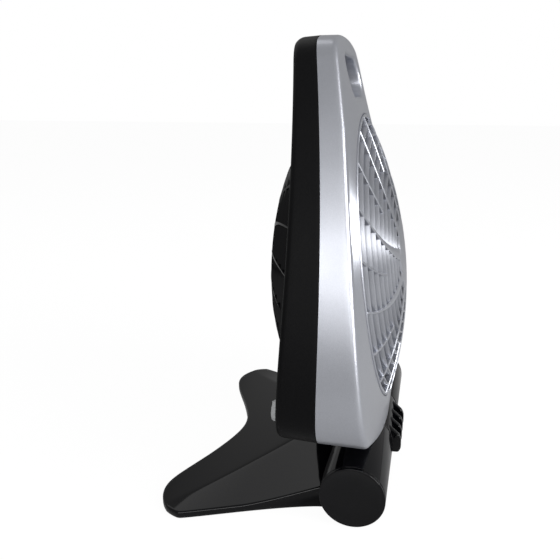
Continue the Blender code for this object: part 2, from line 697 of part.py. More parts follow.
def tilt_collar(head, gloss, mats, pivot):
    inner = BARREL_R - COLLAR_T
    ring = turned([(-COLLAR_HALF, inner), (-COLLAR_HALF, BARREL_R), (COLLAR_HALF, BARREL_R),
                   (COLLAR_HALF, inner)], "X", (0, 0, AXIS_Z), 24)
    collar = place("tilt_collar", ring, gloss, head, pivot)
    ribs = []
    for i in range(RIB_COUNT):
        x = (i - (RIB_COUNT - 1) / 2) * RIB_PITCH
        low, high = x - RIB_WIDTH / 2, x + RIB_WIDTH / 2
        ribs.append(sector(AXIS_Z, low, high, BARREL_R - 0.8, BARREL_R + RIB_PROUD,
                           math.radians(-RIB_ANGLE), math.radians(RIB_ANGLE)))
    stem = block((-SEAT_X + 8.0, SEAT_Y[0], AXIS_Z + inner + 0.9),
                 (SEAT_X - 8.0, SEAT_Y[1] - 4.0, FLOOR_Z - GAP))
    combine(collar, joined([*ribs, stem]), "UNION")
    holes = [rod("Z", (x, stem_screw_y(), 0), SCREW_R + GAP, AXIS_Z, 70.0, 8) for x in stem_screw_x()]
    combine(collar, joined(holes), "DIFFERENCE")
    top = FLOOR_Z + FLOOR_T + GAP
    slab = block((-SEAT_X + 8.0, SEAT_Y[0] + 3, top), (SEAT_X - 8.0, SEAT_Y[1] - 5, top + 1.6))
    plate = place("stem_plate", slab,
                  mats["metal"], head, pivot)
    holes = [rod("Z", (x, stem_screw_y(), 0), SCREW_R + GAP, 40.0, 70.0, 8) for x in stem_screw_x()]
    combine(plate, joined(holes),
            "DIFFERENCE")
    for i, x in enumerate(stem_screw_x(), 1):
        fixing = screw("Z", (x, stem_screw_y(), 0), top + 1.6 + GAP, -9.5)
        place(f"stem_screw_{i}", fixing, mats["metal"], head, pivot)


def washers(base, mats):
    inner = BARREL_R - COLLAR_T
    for name, side in (("friction_washer_left", -1), ("friction_washer_right", 1)):
        near = side * (COLLAR_HALF + GAP)
        far = side * (COLLAR_HALF + GAP + WASHER_T)
        ring = turned([(near, inner), (near, BARREL_R - 0.6), (far, BARREL_R - 0.6), (far, inner)],
                      "X", (0, 0, AXIS_Z), 24)
        place(name, ring, mats["rubber"], base)


def side_half(y):
    """Half width of the leg plate: straight from the root, flaring, and rounded in at the leg's corner."""
    t = np.clip((y - 22.0) / 92.0, 0.0, 1.0)
    flare = ROOT_HALF + (LEG_HALF - ROOT_HALF) * t ** 1.2
    end = np.clip((y - 110.0) / (LEG_Y - 110.0), 0.0, 1.0)
    return flare - 9.0 * (1.0 - np.sqrt(1.0 - 0.93 * end ** 2))


def rear_edge_plan(share):
    """Rear edge of the plate against share of half width: leg ends outside, the notch between them."""
    x = np.abs(share) * LEG_HALF
    t = np.clip(x / NOTCH_HALF, 0.0, 1.0)
    rise = t * t * (3.0 - 2.0 * t)
    corner = np.clip((x - NOTCH_HALF) / (LEG_HALF - NOTCH_HALF), 0.0, 1.0)
    return NOTCH_Y + (LEG_Y - NOTCH_Y) * rise - 7.0 * corner ** 2


def plate_top(x, y):
    """Crown height falls to the rear; outside the diagonal crease the top slopes down to the side wall."""
    crown = EDGE_H + (CROWN_H - EDGE_H) * (np.clip(128.0 - y, 0.0, 103.0) / 103.0) ** 1.5
    side = EDGE_H + (ROOT_EDGE_H - EDGE_H) * (np.clip(75.0 - y, 0.0, 53.0) / 53.0) ** 1.5
    crease = np.maximum(y - 16.0, 4.0)
    t = np.clip((np.abs(x) - crease) / np.maximum(side_half(y) - crease, 4.0), 0.0, 1.0)
    return crown + (side - crown) * t


def plate_loops(inset, drop):
    """Grid of the plate's upper skin, moved in from its edge by inset and down by drop."""
    across = np.sin(np.linspace(-1.0, 1.0, 19) * math.pi / 2 * 0.86) / math.sin(math.pi / 2 * 0.86)
    along = np.linspace(0.0, 1.0, 7) ** 0.9
    share, depth = np.meshgrid(across, along)
    y_end = rear_edge_plan(share) - inset
    y_start = PLATE_START_Y + inset
    y = y_start + (y_end - y_start) * depth
    x = share * (side_half(y) - inset)
    return np.stack([x, y, plate_top(x, y) - drop], 2)


def leg_plate(base, gloss):
    outer = plate_loops(0.0, 0.0)
    inner = plate_loops(WALL, WALL)
    rows, cols = outer.shape[:2]
    points = np.concatenate([outer.reshape(-1, 3), inner.reshape(-1, 3)])
    border = [(0, j) for j in range(cols)] + [(i, cols - 1) for i in range(1, rows)]
    border += [(rows - 1, j) for j in range(cols - 2, -1, -1)] + [(i, 0) for i in range(rows - 2, 0, -1)]
    below = []
    for grid in (outer, inner):
        foot = np.array([grid[i, j] for i, j in border])
        foot[:, 2] = PLATE_Z
        below.append(foot)
    start = len(points)
    points = np.concatenate([points, *below])
    faces = []
    size = rows * cols
    for i in range(rows - 1):
        for j in range(cols - 1):
            a = i * cols + j
            faces.append((a, a + 1, a + cols + 1, a + cols))
            faces.append(tuple(size + v for v in (a, a + cols, a + cols + 1, a + 1)))
    count = len(border)
    for n, (i, j) in enumerate(border):
        m = (n + 1) % count
        p, q = border[m]
        top, next_top = i * cols + j, p * cols + q
        faces.append((top, start + n, start + m, next_top))
        faces.append((size + top, size + next_top, start + count + m, start + count + n))
        faces.append((start + n, start + count + n, start + count + m, start + m))
    plate = place("leg_plate", from_faces(points, faces), gloss, base)
    low = PLATE_Z + 0.2
    blocks = [block((side * 60.0 - 6.0, 4.0, low), (side * 60.0 + 6.0, 27.0, 19.9)) for side in (-1, 1)]
    top = EDGE_H + 0.5
    seats = [block((side * 88.0 - 10.0, 98.0, PLATE_Z), (side * 88.0 + 10.0, 116.0, top)) for side in (-1, 1)]
    combine(plate, joined([*blocks, *seats]), "UNION")
    combine(plate, rod("X", (0, 0, AXIS_Z), BARREL_R + GAP, -120.0, 120.0, 28), "DIFFERENCE")
    cut(plate, joined([leg_screw_hole(side, True) for side in (-1, 1)]), "screw_holes")


def radial_down(bm, side):
    """Turns a piece made along Z about the barrel's axis to point down and back at 45 degrees."""
    c = math.cos(math.radians(135))
    s = math.sin(math.radians(135))
    for v in bm.verts:
        x, y, z = v.co
        v.co = (x + side * 60.0, y * c + z * s, AXIS_Z - y * s + z * c)
    return bm


def leg_screw_hole(side, with_head=False):
    depth = BARREL_R - 2.8
    radius = SCREW_R + GAP
    if not with_head:
        return radial_down(rod("Z", (0, 0, 0), radius, depth, BARREL_R + 12.0, 12), side)
    seat = BARREL_R + 4.0
    profile = [(depth, 0.0), (depth, radius), (seat, radius), (seat, SCREW_HEAD_R + GAP),
               (seat + 20.0, SCREW_HEAD_R + GAP), (seat + 20.0, 0.0)]
    return radial_down(turned(profile, "Z", (0, 0, 0), 16), side)


def base_trim(base, mats):
    for i, side in enumerate((-1, 1), 1):
        shaft = screw("Z", (0, 0, 0), BARREL_R + 4.0 + GAP, -6.5)
        place(f"leg_screw_{i}", radial_down(shaft, side), mats["metal"], base)
    for name, side in (("left", -1), ("right", 1)):
        foot = rod("Z", (side * 88.0, 107.0, 0), FOOT_R, 0.0, PAD_T, 24)
        place(f"leg_foot_{name}", foot, mats["rubber"], base)
        pad = block((side * 62.0 - 16.0, -6.0, 0.0), (side * 62.0 + 16.0, 6.0, PAD_T))
        place(f"barrel_pad_{name}", pad, mats["rubber"], base)


def clear_scene():
    for obj in list(bpy.data.objects):
        bpy.data.objects.remove(obj, do_unlink=True)


def main():
    clear_scene()
    mats = {
        "silver": material("silver_paint", (0.42, 0.43, 0.46), 0.32, 0.55),
        "black": material("satin_black", (0.015, 0.015, 0.017), 0.42),
        "gloss": material("piano_black", (0.008, 0.008, 0.009), 0.08),
        "knob": material("pale_grey", (0.55, 0.56, 0.57), 0.45),
        "metal": material("bright_steel", (0.55, 0.55, 0.56), 0.3, 1.0),
        "dark": material("dark_plastic", (0.03, 0.03, 0.03), 0.5),
        "rubber": material("black_rubber", (0.02, 0.02, 0.02), 0.8),
        "cell": material("cell_jacket", (0.05, 0.12, 0.3), 0.35),
        "board": material("board_green", (0.03, 0.18, 0.07), 0.45),
    }
    front = -(BARREL_R + RIB_PROUD)
    middle = pivot_empty("fan_origin", (0.0, 0.0, 0.0))
    middle.location = (0.0, -(front + LEG_Y) / 2 * 0.001, 0.0)
    base = pivot_empty("base_frame", (0.0, 0.0, 0.0), middle)
    tilt = (0.0, 0.0, AXIS_Z)
    head = pivot_empty("tilt_pivot", tilt, base)
    fan_axis = (0.0, MOTOR_FRONT, REAR_Z)
    spin = pivot_empty("spin_pivot", fan_axis, head)
    knob = pivot_empty("knob_pivot", (KNOB_X, REAR_Y + 0.4, KNOB_Z), head)
    cap = pivot_empty("cap_pivot", (-BARREL_HALF, 0.0, AXIS_Z), base)

    leg_plate(base, mats["gloss"])
    battery_barrel(base, mats["gloss"])
    place("battery_cap", cap_mesh(-1), mats["gloss"], cap, (-BARREL_HALF, 0.0, AXIS_Z))
    place("fixed_cap", cap_mesh(1), mats["gloss"], base)
    batteries(base, mats)
    washers(base, mats)
    base_trim(base, mats)
    tilt_collar(head, mats["gloss"], mats, tilt)
    front_shell(head, mats["silver"], tilt)
    rear_shell(head, mats["black"], tilt)
    front_grille(head, mats["silver"], tilt)
    rear_grille(head, mats["gloss"], tilt)
    fan_parts(spin, head, mats["dark"], mats["metal"], mats["dark"], fan_axis)
    controls(head, knob, mats, tilt)
    shell_screws(head, mats["metal"], tilt)


main()
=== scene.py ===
# %% [markdown]
# # A battery desk fan
# The fan is a wedge-shaped head on a round battery barrel. Its front is painted silver, and its back and
# its base are black. The working model arrives as a fixed frame of bodies, and each cell below makes one
# visible piece as a surface worked out with numpy, then lets it ride on the body it belongs to.

# %% Load the frame and keep its nodes and record
import json
import math
import bpy
import numpy as np
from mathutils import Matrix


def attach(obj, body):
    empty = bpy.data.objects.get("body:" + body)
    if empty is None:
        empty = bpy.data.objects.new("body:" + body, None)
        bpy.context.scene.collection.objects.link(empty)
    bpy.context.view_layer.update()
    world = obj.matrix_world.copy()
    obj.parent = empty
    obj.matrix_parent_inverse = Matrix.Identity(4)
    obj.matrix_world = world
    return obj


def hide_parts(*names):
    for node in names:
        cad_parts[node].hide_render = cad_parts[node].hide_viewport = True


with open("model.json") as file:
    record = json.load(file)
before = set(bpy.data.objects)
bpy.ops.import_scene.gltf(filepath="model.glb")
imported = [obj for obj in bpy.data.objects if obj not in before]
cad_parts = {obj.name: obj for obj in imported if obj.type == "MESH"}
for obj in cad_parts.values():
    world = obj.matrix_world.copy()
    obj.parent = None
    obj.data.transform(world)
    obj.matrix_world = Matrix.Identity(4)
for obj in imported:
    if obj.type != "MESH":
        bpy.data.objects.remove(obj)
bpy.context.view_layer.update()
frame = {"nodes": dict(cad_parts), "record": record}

# %% [markdown]
# ## From millimetres to the frame
# Moulded parts are drawn in millimetres, so the shapes here are too. Y is measured from the barrel's axis,
# which lies 52.9 mm in front of the frame's origin. A piece could be pulled into shape by hand, but
# computed points follow from a few numbers, so one helper turns points and faces into a mesh. It closes
# seams and poles by merging doubles, turns every face outwards and marks creases sharper than an angle.

# %% Mesh helpers
import bmesh

BARREL_Y = -52.9
CREASE = 40.0
MERGE = 2e-6


def grid_faces(rows, cols, wrap_rows=False, wrap_cols=True):
    """Four corners of each cell of a grid of points stored row by row, as whole index arrays."""
    i = np.arange(rows if wrap_rows else rows - 1)[:, None]
    j = np.arange(cols if wrap_cols else cols - 1)[None, :]
    k, m = (i + 1) % rows, (j + 1) % cols
    return np.stack([i * cols + j, i * cols + m, k * cols + m, k * cols + j], -1).reshape(-1, 4)


def solid(grid, wrap_rows=False, capped=True):
    """A closed solid from loops of points: sides between neighbouring loops, and a flat cap on each end."""
    rows, cols = grid.shape[:2]
    faces = grid_faces(rows, cols, wrap_rows).tolist()
    if capped and not wrap_rows:
        faces += [list(range(cols))[::-1], list(range((rows - 1) * cols, rows * cols))]
    return grid.reshape(-1, 3), faces


def gather(parts):
    """Several (points, faces) pairs as one, each part's faces counting on from the points before it."""
    starts = np.cumsum([0] + [len(points) for points, _ in parts[:-1]])
    faces = [[int(v + start) for v in face] for (_, own), start in zip(parts, starts) for face in own]
    return np.concatenate([points for points, _ in parts]), faces


def mesh_object(name, points, faces, sharp=CREASE):
    """Millimetre points into a smooth-shaded object at the origin."""
    mesh = bpy.data.meshes.new(name)
    mesh.from_pydata(((np.asarray(points) + (0.0, BARREL_Y, 0.0)) / 1000.0).tolist(), [], faces)
    bm = bmesh.new()
    bm.from_mesh(mesh)
    bmesh.ops.remove_doubles(bm, verts=bm.verts, dist=MERGE)
    bmesh.ops.recalc_face_normals(bm, faces=bm.faces)
    bm.to_mesh(mesh)
    bm.free()
    obj = bpy.data.objects.new(name, mesh)
    bpy.context.scene.collection.objects.link(obj)
    shade(obj, sharp)
    return obj


def shade(obj, sharp=CREASE):
    """Smooth faces, with the edges that turn by more than sharp degrees left crisp."""
    mesh = obj.data
    mesh.polygons.foreach_set("use_smooth", np.ones(len(mesh.polygons), bool))
    mesh.set_sharp_from_angle(angle=math.radians(sharp))


def settle(obj, finish, body, slot, *stands_for):
    """Gives the piece its finish and its body, and hides the frame nodes it stands for; slot is not used."""
    obj.data.materials.clear()
    obj.data.materials.append(finish)
    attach(obj, body)
    if stands_for:
        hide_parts(*stands_for)
    print(f"{obj.name}: {len(obj.data.polygons)} faces")
    return obj


def carve(obj, others, sharp=CREASE):
    """Joins or cuts obj with each (operation, object) in turn, as plain mesh, and drops the tools."""
    for operation, tool in others:
        modifier = obj.modifiers.new(operation.lower(), "BOOLEAN")
        modifier.operation = operation
        modifier.solver = "EXACT"
        modifier.object = tool
    graph = bpy.context.evaluated_depsgraph_get()
    result = bpy.data.meshes.new_from_object(obj.evaluated_get(graph))
    obj.modifiers.clear()
    obj.data = result
    for _, tool in others:
        bpy.data.objects.remove(tool)
    shade(obj, sharp)
    return obj


print("barrel axis at y =", BARREL_Y, "mm; doubles merge within", MERGE, "m")

# %% [markdown]
# ## Finishes
# Each finish is a Principled shader whose colour, roughness and bump vary a little with noise. A painted
# picture would need every piece unwrapped. Noise on Object coordinates needs nothing, and keeps the scale
# the real surface shows: flakes of a fraction of a millimetre in the silver paint, a fine spark-eroded
# grain in the satin black, and almost nothing but a soft ripple in the gloss.

# %% Finish helper
NOISE_LOW, NOISE_HIGH = 0.3, 0.7
ROUGH_DRIFT = 0.12
GRAIN_DEPTH, RIPPLE_DEPTH = 0.0004, 0.002


def moulded_finish(name, dark, light, rough, grain, bump, metallic=0.0, ripple=0.0, coat=0.0, specular=0.5):
    """Colour runs from dark to light over fine noise, roughness drifts around rough over broad noise."""
    finish = bpy.data.materials.new(name)
    finish.use_nodes = True
    nodes, links = finish.node_tree.nodes, finish.node_tree.links
    shader = nodes["Principled BSDF"]
    shader.inputs["Metallic"].default_value = metallic
    shader.inputs["Coat Weight"].default_value = coat
    shader.inputs["Specular IOR Level"].default_value = specular
    shader.inputs["Coat Roughness"].default_value = 0.08
    where = nodes.new("ShaderNodeTexCoord")
    fine = nodes.new("ShaderNodeTexNoise")
    fine.inputs["Scale"].default_value = grain
    fine.inputs["Detail"].default_value = 3.0
    broad = nodes.new("ShaderNodeTexNoise")
    broad.inputs["Scale"].default_value = 14.0
    broad.inputs["Detail"].default_value = 4.0
    colours = nodes.new("ShaderNodeValToRGB")
    for element, place, colour in zip(colours.color_ramp.elements, (NOISE_LOW, NOISE_HIGH), (dark, light)):
        element.position = place
        element.color = (*colour, 1.0)
    drift = nodes.new("ShaderNodeMapRange")
    drift.inputs["From Min"].default_value = NOISE_LOW
    drift.inputs["From Max"].default_value = NOISE_HIGH
    drift.inputs["To Min"].default_value = rough * (1 - ROUGH_DRIFT)
    drift.inputs["To Max"].default_value = rough * (1 + ROUGH_DRIFT)
    relief = nodes.new("ShaderNodeBump")
    relief.inputs["Strength"].default_value = bump
    relief.inputs["Distance"].default_value = GRAIN_DEPTH
    for noise in (fine, broad):
        links.new(where.outputs["Object"], noise.inputs["Vector"])
    links.new(fine.outputs["Fac"], colours.inputs["Fac"])
    links.new(broad.outputs["Fac"], drift.inputs["Value"])
    links.new(fine.outputs["Fac"], relief.inputs["Height"])
    links.new(colours.outputs["Color"], shader.inputs["Base Color"])
    links.new(drift.outputs["Result"], shader.inputs["Roughness"])
    if ripple:
        wave = nodes.new("ShaderNodeBump")
        wave.inputs["Strength"].default_value = ripple
        wave.inputs["Distance"].default_value = RIPPLE_DEPTH
        links.new(broad.outputs["Fac"], wave.inputs["Height"])
        links.new(relief.outputs["Normal"], wave.inputs["Normal"])
        relief = wave
    links.new(relief.outputs["Normal"], shader.inputs["Normal"])
    return finish


print("grain and ripple, in mm at full strength:", 1000 * GRAIN_DEPTH, 1000 * RIPPLE_DEPTH)

# %% The fan's finishes
silver_paint = moulded_finish("silver_paint", (0.45, 0.465, 0.51), (0.55, 0.565, 0.615),
                              rough=0.34, grain=2600.0, bump=0.05, metallic=0.8, coat=0.2)
satin_black = moulded_finish("satin_black", (0.0025, 0.0025, 0.003), (0.0045, 0.0045, 0.005),
                             rough=0.45, grain=1800.0, bump=0.25, specular=0.1)
piano_black = moulded_finish("piano_black", (0.0012, 0.0012, 0.0018), (0.002, 0.002, 0.0028),
                             rough=0.07, grain=500.0, bump=0.0, ripple=0.02, specular=0.3)
pale_grey = moulded_finish("pale_grey", (0.50, 0.51, 0.52), (0.58, 0.59, 0.60),
                           rough=0.42, grain=1200.0, bump=0.1)
bright_steel = moulded_finish("bright_steel", (0.50, 0.50, 0.51), (0.60, 0.60, 0.61),
                              rough=0.28, grain=1500.0, bump=0.05, metallic=1.0)
dark_plastic = moulded_finish("dark_plastic", (0.018, 0.018, 0.018), (0.03, 0.03, 0.03),
                              rough=0.5, grain=1500.0, bump=0.2)
black_rubber = moulded_finish("black_rubber", (0.012, 0.012, 0.012), (0.022, 0.022, 0.022),
                              rough=0.78, grain=1100.0, bump=0.4)
cell_jacket = moulded_finish("cell_jacket", (0.04, 0.10, 0.24), (0.06, 0.14, 0.32),
                             rough=0.35, grain=700.0, bump=0.05, metallic=0.2)
board_green = moulded_finish("board_green", (0.02, 0.14, 0.05), (0.04, 0.20, 0.08),
                             rough=0.4, grain=900.0, bump=0.1)
finishes = {"silver_paint": silver_paint, "satin_black": satin_black, "piano_black": piano_black,
            "pale_grey": pale_grey, "bright_steel": bright_steel, "dark_plastic": dark_plastic,
            "black_rubber": black_rubber, "cell_jacket": cell_jacket, "board_green": board_green}
print("finishes:", len(finishes))

# %% [markdown]
# ## Frame nodes that stay
# Cells, contacts, feet, motor parts and the circuit board already have their true shape. Drawing them again
# would gain nothing, so they only get the finish that the record names for them.

# %% Dress the frame's own nodes
for entry in frame["record"]["subparts"]:
    node = frame["nodes"][entry["node"]]
    node.data.materials.clear()
    node.data.materials.append(finishes[entry["material_slot"]])
print("dressed nodes:", len(frame["nodes"]))

# %% [markdown]
# ## Outline of the head
# Seen from the front the head is a rounded wedge: a short crown, two shoulders, long flanks that spread
# downwards, tight heels and a belly that bows down over the barrel. Five Bezier curves give the right half,
# and the left half is its mirror. A curve object could hold them, but both shells need the points as
# numbers. The loop is then spread evenly by arc length, so that highlights run smoothly.

# %% Outline
def bezier(points, count):
    """Cubic Bezier: the four points weighted by the binomial terms of t and 1 - t."""
    t = np.linspace(0.0, 1.0, count, endpoint=False)[:, None]
    a, b, c, d = np.array(points, float)
    return (1 - t) ** 3 * a + 3 * (1 - t) ** 2 * t * b + 3 * (1 - t) * t ** 2 * c + t ** 3 * d


def spread_evenly(loop, count):
    """Points at equal steps of arc length round a closed loop."""
    closed = np.concatenate([loop, loop[:1]])
    along = np.concatenate([[0.0], np.cumsum(np.linalg.norm(np.diff(closed, axis=0), axis=1))])
    at = np.linspace(0.0, along[-1], count, endpoint=False)
    return np.stack([np.interp(at, along, closed[:, k]) for k in range(closed.shape[1])], 1)


# The (x, z) control points of the crown, the shoulder, the flank, the heel and the belly.
CURVES = [[(0, 304), (14, 304), (28, 303), (38, 300)],
          [(38, 300), (45, 298.8), (49.5, 292), (52, 287)],
          [(52, 287), (86, 224.7), (126.5, 135), (126.8, 98)],
          [(126.8, 98), (127.2, 85), (122, 77.5), (112, 73)],
          [(112, 73), (80, 59.5), (40, 41), (0, 41)]]
half = np.concatenate([bezier(curve, 60) for curve in CURVES] + [np.array([(0.0, 41.0)])])
edge = spread_evenly(np.concatenate([half, half[1:-1][::-1] * (-1, 1)]), 480)
print("outline points:", len(edge), "width:", round(float(np.ptp(edge[:, 0])), 1), "mm")


# %% Moving the outline in, out and in depth
# The radius and the centre of each grille's opening. The front one leans back, the rear one is upright.
LEAN = math.radians(8.2)
RIM_R, RIM_Y, RIM_Z = 99.3, -2.9, 159.2
REAR_R, REAR_Y, REAR_Z = 94.0, 43.4, 156.0


def outset(loop, amount):
    """Each point moves along the loop's outward normal, the tangent turned by a quarter."""
    tangent = np.roll(loop, -2, 0) - np.roll(loop, 2, 0)
    normal = np.stack([-tangent[:, 1], tangent[:, 0]], 1)
    return loop + amount * normal / np.linalg.norm(normal, axis=1)[:, None]


def lifted(loop, amount):
    """The belly lifts over the barrel by a bell curve of x, fading out above the belly."""
    x, z = loop.T
    return np.stack([x, z + amount * np.clip((90.0 - z) / 30.0, 0, 1) * np.exp(-(x / 48.0) ** 2)], 1)


def rim_plane_y(z):
    """The front face leans back: y grows with height by the tangent of the lean."""
    return RIM_Y + (z - RIM_Z) * math.tan(LEAN)


def seam_y(z):
    """The parting line is upright low down and curves back towards the crown."""
    return 18.8 + 17.2 * np.clip((z - 90.0) / 205.0, 0, 2) ** 2


def back_y(z):
    """Depth of the back edge, thickest at the crown."""
    return 42.0 + 9.0 * np.clip((z - 150.0) / 146.0, 0, 2) ** 2 + 1.4 * np.clip((150.0 - z) / 72.0, 0, 2) ** 2


def at_depth(loop, y):
    """An (x, z) loop as points in space, at one depth or at a depth for each point."""
    return np.stack([loop[:, 0], np.broadcast_to(y, len(loop)), loop[:, 1]], 1)


def leaning(x, up, out):
    """A point of the front plane: up the slope, and out of it towards the user."""
    y = RIM_Y + up * math.sin(LEAN) - out * math.cos(LEAN)
    return np.stack(np.broadcast_arrays(x, y, RIM_Z + up * math.cos(LEAN) + out * math.sin(LEAN)), -1)


def front_ring(radius, back):
    """A circle in the front plane with one point for each outline point, pushed back into the head."""
    angle = np.arctan2(edge[:, 0], edge[:, 1] - RIM_Z)
    return leaning(radius * np.sin(angle), radius * np.cos(angle), -back)


def rear_ring(radius, y):
    """An upright circle at depth y with one point for each outline point."""
    angle = np.arctan2(edge[:, 0], edge[:, 1] - REAR_Z)
    return np.stack([radius * np.sin(angle), np.full(len(edge), y), REAR_Z + radius * np.cos(angle)], 1)


def straight(a, b, count):
    """Rows on straight lines from row a towards row b, b left out."""
    t = np.linspace(0.0, 1.0, count, endpoint=False)[:, None, None]
    return (1 - t) * a + t * b


def rounded(a, corner, b, count=8):
    """Rows on a quadratic Bezier that rounds the corner between a and b, b left out."""
    t = np.linspace(0.0, 1.0, count, endpoint=False)[:, None, None]
    return (1 - t) ** 2 * a + 2 * (1 - t) * t * corner + t ** 2 * b


print("front opening:", 2 * RIM_R, "mm, rear opening:", 2 * REAR_R, "mm")

# %% [markdown]
# ## The carry slot
# A hand goes through the head under the crown. The slot is a rounded rectangle carried from front to back.
# It crosses both shells' grids at an angle, so it is cut out of them by a Boolean instead of being woven
# into their rows. Its mouths open out by a quarter round, as a moulded edge does, and a wall lines it
# between the shells.

# %% Slot shapes
SLOT_HALF, SLOT_LOW, SLOT_HIGH, SLOT_CORNER = 32.0, 268.5, 294.0, 12.0
# The mouth's quarter round, the lining's thickness, and how far the tool stands past each face.
MOUTH_R, LINING, CLEAR = 2.6, 2.4, 3.0


def face_y(z):
    """The front face at the slot, between the grille's rim and the crown."""
    return rim_plane_y(z) + 0.5 + 6.5 * np.clip((z - 257.0) / 47.0, 0, 1)


def wall_y(z):
    """The back face at the slot."""
    return REAR_Y + 0.156 * np.maximum(z - 250.0, 0.0)


def slot_loop(grow):
    """A rounded rectangle as four quarter circles, grown outwards by grow."""
    angle = np.linspace(0.0, 2 * math.pi, 64, endpoint=False) + math.pi / 128
    radius = SLOT_CORNER + grow
    x = np.sign(np.cos(angle)) * (SLOT_HALF - SLOT_CORNER) + radius * np.cos(angle)
    middle, tall = (SLOT_LOW + SLOT_HIGH) / 2, (SLOT_HIGH - SLOT_LOW) / 2 - SLOT_CORNER
    return np.stack([x, middle + np.sign(np.sin(angle)) * tall + radius * np.sin(angle)], 1)


def slot_rows(steps):
    """One loop for each (growth, depth function) step."""
    rows = []
    for grow, depth in steps:
        loop = slot_loop(grow)
        rows.append(at_depth(loop, depth(loop[:, 1])))
    return np.stack(rows)


def slot_tool():
    """The hole itself: its mouths grow by R - sqrt(R^2 - (R - d)^2) at depth d under each face."""
    depth = np.linspace(0.0, MOUTH_R, 7)
    grow = MOUTH_R - np.sqrt(MOUTH_R ** 2 - (MOUTH_R - depth) ** 2)
    steps = [(MOUTH_R + CLEAR, lambda z: face_y(z) - CLEAR)]
    steps += [(g, lambda z, d=d: face_y(z) + d) for g, d in zip(grow, depth)]
    steps += [(g, lambda z, d=d: wall_y(z) - d) for g, d in zip(grow[::-1], depth[::-1])]
    steps += [(MOUTH_R + CLEAR, lambda z: wall_y(z) + CLEAR)]
    return mesh_object("slot_tool", *solid(slot_rows(steps)))


def slot_lining(start, end):
    """A block round the slot between two depth functions, which the slot tool then hollows out."""
    return mesh_object("slot_lining", *solid(slot_rows([(LINING, start), (LINING, end)])))


print("slot:", 2 * SLOT_HALF, "by", SLOT_HIGH - SLOT_LOW, "mm")

# %% [markdown]
# ## Front shell
# The silver half is one moulding: a side wall, a soft front corner, a shallow cone down to the grille's
# seat, and a thin inner skin. A solidified sheet would give every wall the same thickness, so the section
# is drawn whole. It is a grid whose columns follow the outline and whose rows follow the wall from the
# seam, over the front and back inside. Straight rows and rounded rows take turns.

# %% Front shell
SEAM_GAP = 0.15
SEAT_STEP = 3.1
wide = lifted(outset(edge, 3.0), 9.5)
y_edge = rim_plane_y(edge[:, 1]) + 4.0 + 3.0 * np.clip((edge[:, 1] - 250.0) / 54.0, 0, 1)
seam = at_depth(wide, seam_y(wide[:, 1]) - SEAM_GAP)
belt = at_depth(lifted(outset(edge, 3.0), 3.5), y_edge + 3.4)
front_corner = at_depth(outset(edge, 2.7), y_edge + 0.1)
rim_mouth = front_ring(RIM_R + 1.1, 0.2)
face_start = at_depth(edge, y_edge) * 0.97 + rim_mouth * 0.03
rim_wall = front_ring(RIM_R, 1.4)
seat_depth = 4.8
seat_outer, seat_inner = front_ring(RIM_R, seat_depth), front_ring(RIM_R - SEAT_STEP, seat_depth)
seat_back = front_ring(RIM_R - SEAT_STEP, seat_depth + 2.2)
inner_front = at_depth(lifted(outset(edge, -2.2), 2.0), y_edge + 3.4)
inner_belt = at_depth(lifted(outset(edge, 0.6), 4.5), y_edge + 6.5)
inner_seam = at_depth(lifted(outset(edge, 0.6), 9.5), seam_y(wide[:, 1]) - SEAM_GAP)
front_rows = np.concatenate([
    straight(seam, belt, 8), rounded(belt, front_corner, face_start, 12), straight(face_start, rim_mouth, 8),
    rounded(rim_mouth, front_ring(RIM_R, 0.25), rim_wall, 5), straight(rim_wall, seat_outer, 2),
    straight(seat_outer, seat_inner, 1), straight(seat_inner, seat_back, 1),
    straight(seat_back, inner_front, 2), straight(inner_front, inner_belt, 2),
    straight(inner_belt, inner_seam, 2), inner_seam[None]])
front_shell = mesh_object("front_case", *solid(front_rows, wrap_rows=True))
carve(front_shell, [("UNION", slot_lining(lambda z: face_y(z) + 1.2, lambda z: seam_y(z) - SEAM_GAP)),
                    ("DIFFERENCE", slot_tool())])
settle(front_shell, silver_paint, "head", "silver_paint", "front_shell")


# %% [markdown]
# ## Rear shell
# The satin black half is made the same way from the seam backwards, with a narrow back edge and a recess for
# the rear grille. Four screw heads sit in round counterbores, and the power inlet and the knob's stem have
# holes of their own. Round holes are cut by turned tools, because a grid has no rows where they fall.

# %% Turned shapes
def turned(profile, axis, centre, sides):
    """(along, radius) pairs swept round an axis: radius times the cosine and sine of the angle."""
    profile = np.array(profile, float)
    angle = np.linspace(0.0, 2 * math.pi, sides, endpoint=False)
    along, radius = np.broadcast_arrays(profile[:, :1], profile[:, 1:])
    a, b = radius * np.cos(angle), radius * np.sin(angle)
    along = np.broadcast_to(along, a.shape)
    order = {"X": (along, a, b), "Y": (a, along, b), "Z": (a, b, along)}[axis]
    return np.stack(order, -1) + np.array(centre, float)


def filleted(profile, radius, steps=4, skip=()):
    """Cuts each inner corner of a polyline back by radius and puts a quadratic Bezier across it."""
    p = np.array(profile, float)
    out = [p[:1]]
    t = np.linspace(0.0, 1.0, steps + 1)[:, None]
    for i in range(1, len(p) - 1):
        before, after = p[i - 1] - p[i], p[i + 1] - p[i]
        room = 0.45 * np.linalg.norm(before), 0.45 * np.linalg.norm(after)
        r = 0.0 if i in skip else min(radius, *room)
        a, b = p[i] + r * before / np.linalg.norm(before), p[i] + r * after / np.linalg.norm(after)
        out.append((1 - t) ** 2 * a + 2 * (1 - t) * t * p[i] + t ** 2 * b if r else p[i][None])
    return np.concatenate(out + [p[-1:]])


def cylinder(centre, axis, low, high, radius, sides=32):
    """A solid cylinder along an axis, from low to high."""
    profile = [(low, 0.0), (low, radius), (high, radius), (high, 0.0)]
    return solid(turned(profile, axis, centre, sides), capped=False)


